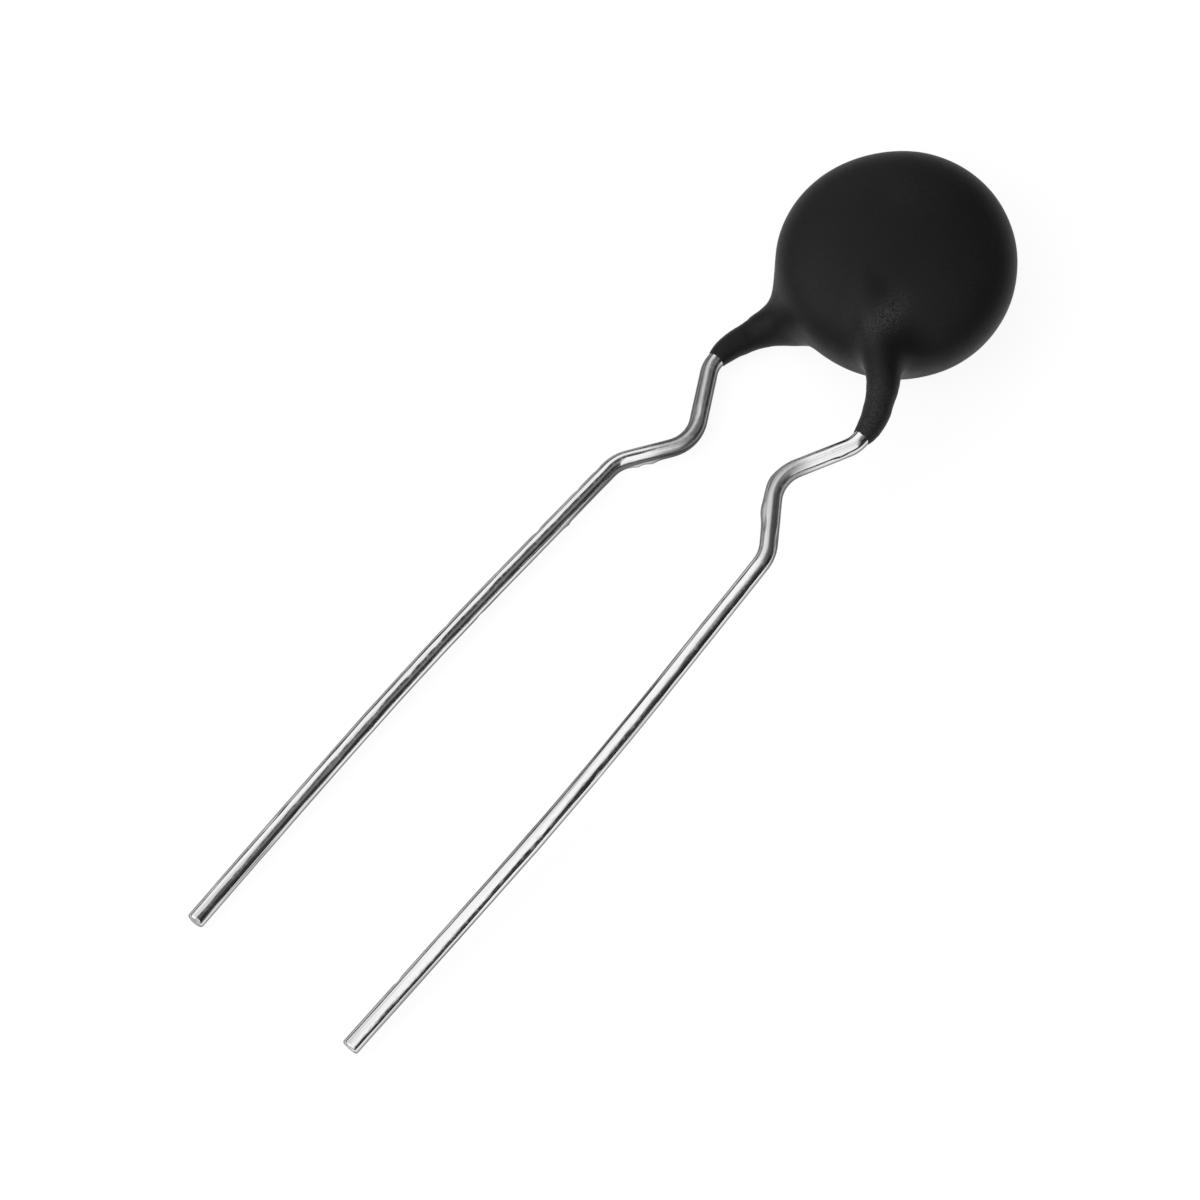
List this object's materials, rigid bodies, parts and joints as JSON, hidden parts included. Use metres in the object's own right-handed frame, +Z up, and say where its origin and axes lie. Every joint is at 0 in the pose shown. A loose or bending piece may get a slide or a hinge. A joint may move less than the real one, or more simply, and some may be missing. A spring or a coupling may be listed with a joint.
{
  "type": "thermistor",
  "caption": "Disc thermistor: a ceramic disc dipped in dark grey resin that runs down two tinned wire leads, kinked inwards and then straight.",
  "frame": {"origin": "on the surface the part lies on, under the middle of its bounding box", "axes": "+X across the two leads, +Y along the leads from their cut tips towards the disc, +Z up from the surface the part lies on, out of the disc's front face"},
  "size_m": [0.0098, 0.0439, 0.0049],
  "materials": {
    "coating_resin": "dipped and cured silicone resin, dark grey-black, fine-grained satin",
    "ntc_ceramic": "sintered metal-oxide ceramic, dark grey, matt",
    "fired_silver": "fired silver paste, dull white metal",
    "solder": "tin solder, satin",
    "tinned_wire": "tin-plated wire, bright, with drawn streaks along it"
  },
  "bodies": {
    "root": {"coating": "coating_resin", "ceramic_disc": "ntc_ceramic", "front_electrode": "fired_silver", "back_electrode": "fired_silver", "front_solder": "solder", "back_solder": "solder", "lead_front": "tinned_wire", "lead_back": "tinned_wire"}
  },
  "joints": []
}
